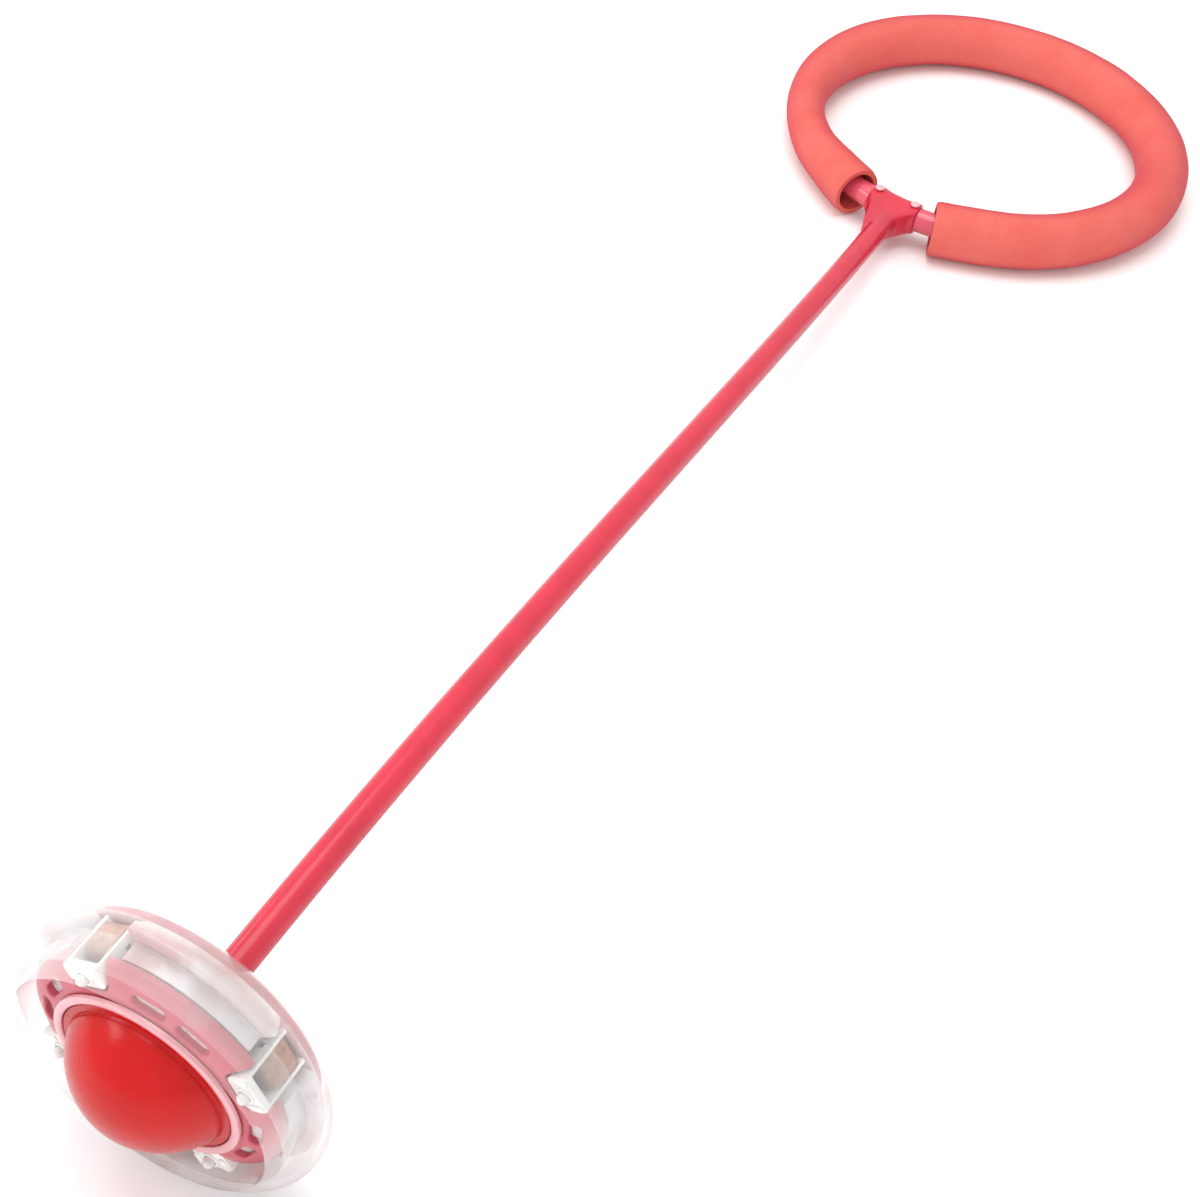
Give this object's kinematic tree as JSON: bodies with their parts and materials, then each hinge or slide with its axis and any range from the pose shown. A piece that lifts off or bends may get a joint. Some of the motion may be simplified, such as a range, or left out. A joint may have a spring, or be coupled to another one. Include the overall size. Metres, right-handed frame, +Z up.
{
  "type": "ankle skip toy",
  "caption": "Ankle skip toy: a foam-covered ankle ring on a long moulded rod, with a clear roller wheel holding flashing modules behind a glossy dome.",
  "frame": {"origin": "on the floor, at the middle of the toy's length and width", "axes": "+X runs from the wheel's dome to the far side of the ankle ring, +Z is up, with the wheel on its tyre and the ring flat on the floor"},
  "size_m": [0.6754, 0.1758, 0.0899],
  "materials": {
    "rod_plastic": "glossy moulded pink-red plastic with soft lengthwise streaks",
    "hoop_plastic": "smooth crimson plastic tube",
    "foam": "matte coral-red closed-cell foam with fine pores",
    "clear_urethane": "clear cast urethane",
    "flange_plastic": "pink moulded plastic",
    "dome_plastic": "glossy red moulded plastic",
    "pale_plastic": "pale pink plastic",
    "carrier_plastic": "white translucent plastic",
    "lamp_plastic": "milky lamp lens",
    "bearing_plastic": "natural acetal",
    "copper": "enamelled copper wire, wound in layers",
    "steel": "zinc-plated steel",
    "magnet": "dark sintered ferrite"
  },
  "bodies": {
    "frame": {"rod_fork": "rod_plastic", "axle": "steel", "magnet_ring": "magnet", "washer_front": "steel", "washer_rear": "steel", "lock_nut": "steel", "hoop_tube": "hoop_plastic", "hoop_rivet_left": "pale_plastic", "hoop_rivet_right": "pale_plastic", "foam_sleeve": "foam"},
    "wheel": {"clear_tyre": "clear_urethane", "front_flange": "flange_plastic", "rear_flange": "flange_plastic", "hub_barrel": "flange_plastic", "bush_front": "bearing_plastic", "bush_rear": "bearing_plastic", "dome_cap": "dome_plastic", "socket_ring": "pale_plastic", "module_carrier_1": "carrier_plastic", "module_carrier_2": "carrier_plastic", "module_carrier_3": "carrier_plastic", "module_carrier_4": "carrier_plastic", "copper_coil_1": "copper", "copper_coil_2": "copper", "copper_coil_3": "copper", "copper_coil_4": "copper", "coil_core_1": "steel", "coil_core_2": "steel", "coil_core_3": "steel", "coil_core_4": "steel", "lamp_1": "lamp_plastic", "lamp_2": "lamp_plastic", "lamp_3": "lamp_plastic", "lamp_4": "lamp_plastic", "flange_screw_1": "steel", "flange_screw_2": "steel", "flange_screw_3": "steel", "flange_screw_4": "steel"}
  },
  "joints": [
    {"name": "wheel_spin", "type": "hinge", "parent": "frame", "child": "wheel", "pos_m": [-0.31325, 0, 0.045], "axis": [0.9986, 0, 0.0523], "continuous": true}
  ]
}
